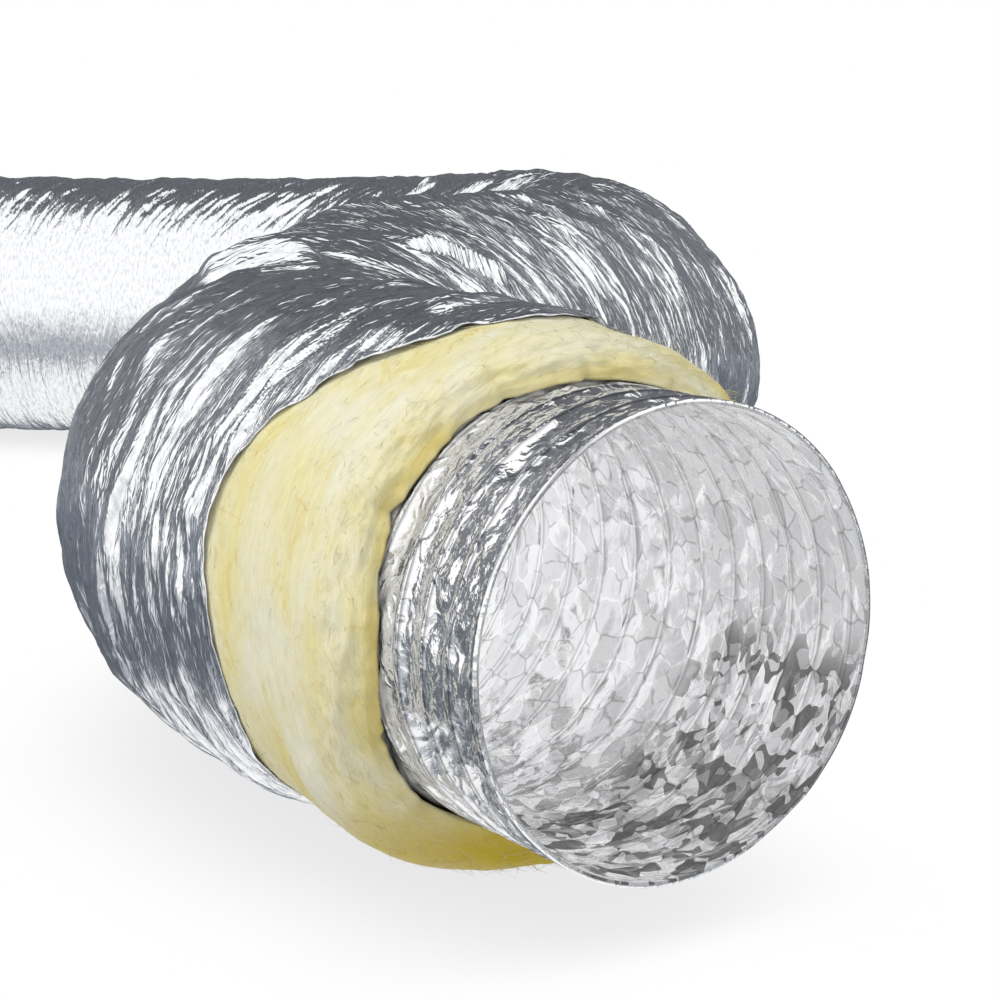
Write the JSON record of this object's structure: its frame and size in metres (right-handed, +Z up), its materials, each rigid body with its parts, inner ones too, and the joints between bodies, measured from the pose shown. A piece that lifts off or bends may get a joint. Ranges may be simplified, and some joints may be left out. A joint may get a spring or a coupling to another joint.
{
  "type": "insulated flexible air duct",
  "caption": "Bent length of insulated flexible duct: foil jacket, glass-wool blanket and wire-wound foil core, with the near end dressed back in steps.",
  "frame": {"origin": "middle of the bounding box, at the ground the duct lies on", "axes": "+X along the far straight run towards the elbow, -Y towards the open near end, +Z up"},
  "size_m": [0.9702, 1.5602, 0.2805],
  "materials": {
    "jacket_foil": "crinkled metallised foil, semi-gloss",
    "glass_wool": "matt yellow glass-fibre blanket",
    "core_outer_foil": "crinkled mirror foil",
    "core_inner_foil": "crinkled bright foil",
    "spring_steel": "drawn wire"
  },
  "bodies": {
    "far_run": {"jacket_far_run": "jacket_foil", "insulation_far_run": "glass_wool", "core_outer_ply_far_run": "core_outer_foil", "wire_coil_far_run": "spring_steel", "core_inner_ply_far_run": "core_inner_foil"},
    "elbow_rear": {"jacket_elbow_rear": "jacket_foil", "insulation_elbow_rear": "glass_wool", "core_outer_ply_elbow_rear": "core_outer_foil", "wire_coil_elbow_rear": "spring_steel", "core_inner_ply_elbow_rear": "core_inner_foil"},
    "elbow_front": {"jacket_elbow_front": "jacket_foil", "insulation_elbow_front": "glass_wool", "core_outer_ply_elbow_front": "core_outer_foil", "wire_coil_elbow_front": "spring_steel", "core_inner_ply_elbow_front": "core_inner_foil"},
    "near_run_rear": {"jacket_near_run_rear": "jacket_foil", "insulation_near_run_rear": "glass_wool", "core_outer_ply_near_run_rear": "core_outer_foil", "wire_coil_near_run_rear": "spring_steel", "core_inner_ply_near_run_rear": "core_inner_foil"},
    "near_run_middle": {"jacket_near_run_middle": "jacket_foil", "insulation_near_run_middle": "glass_wool", "core_outer_ply_near_run_middle": "core_outer_foil", "wire_coil_near_run_middle": "spring_steel", "core_inner_ply_near_run_middle": "core_inner_foil"},
    "near_run_front": {"jacket_near_run_front": "jacket_foil", "insulation_near_run_front": "glass_wool", "core_outer_ply_near_run_front": "core_outer_foil", "wire_coil_near_run_front": "spring_steel", "core_inner_ply_near_run_front": "core_inner_foil"},
    "end_run": {"jacket_end_run": "jacket_foil", "insulation_end_run": "glass_wool", "core_outer_ply_end_run": "core_outer_foil", "wire_coil_end_run": "spring_steel", "core_inner_ply_end_run": "core_inner_foil"},
    "jacket_end": {"jacket_cuff": "jacket_foil"},
    "insulation_end": {"insulation_end_ring": "glass_wool"},
    "core_end": {"core_outer_ply_mouth": "core_outer_foil", "wire_coil_mouth": "spring_steel", "core_inner_ply_mouth": "core_inner_foil"}
  },
  "joints": [
    {"name": "elbow_bend_rear", "type": "hinge", "parent": "far_run", "child": "elbow_rear", "pos_m": [0.09623, 0.63442, 0.13347], "axis": [0, 0, 1], "range_deg": [-5, 5]},
    {"name": "elbow_bend_middle", "type": "hinge", "parent": "elbow_rear", "child": "elbow_front", "pos_m": [0.19347, 0.53731, 0.13514], "axis": [0, 0, 1], "range_deg": [-5, 5]},
    {"name": "elbow_bend_front", "type": "hinge", "parent": "elbow_front", "child": "near_run_rear", "pos_m": [0.23107, 0.40035, 0.1367], "axis": [0, 0, 1], "range_deg": [-5, 5]},
    {"name": "near_bend_rear", "type": "hinge", "parent": "near_run_rear", "child": "near_run_middle", "pos_m": [0.18912, 0.03917, 0.14065], "axis": [0, 0, 1], "range_deg": [-7, 7]},
    {"name": "near_bend_middle", "type": "hinge", "parent": "near_run_middle", "child": "near_run_front", "pos_m": [0.16063, -0.24272, 0.139], "axis": [0, 0, 1], "range_deg": [-7, 7]},
    {"name": "near_bend_front", "type": "hinge", "parent": "near_run_front", "child": "end_run", "pos_m": [0.16873, -0.41233, 0.13404], "axis": [0, 0, 1], "range_deg": [-7, 7]},
    {"name": "jacket_pull", "type": "slide", "parent": "end_run", "child": "jacket_end", "axis": [0.6782, -0.7349, 0], "range_m": [0, 0.11]},
    {"name": "insulation_pull", "type": "slide", "parent": "end_run", "child": "insulation_end", "axis": [0.6782, -0.7349, 0], "range_m": [0, 0.055]},
    {"name": "core_stretch", "type": "slide", "parent": "end_run", "child": "core_end", "axis": [0.6782, -0.7349, 0], "range_m": [0, 0.05]}
  ],
  "couplings": [
    {"joint": "elbow_bend_middle", "follows": "elbow_bend_rear", "ratio": 1},
    {"joint": "elbow_bend_front", "follows": "elbow_bend_rear", "ratio": 1},
    {"joint": "near_bend_middle", "follows": "near_bend_rear", "ratio": 1},
    {"joint": "near_bend_front", "follows": "near_bend_rear", "ratio": 1},
    {"joint": "insulation_pull", "follows": "jacket_pull", "ratio": 0.5}
  ]
}
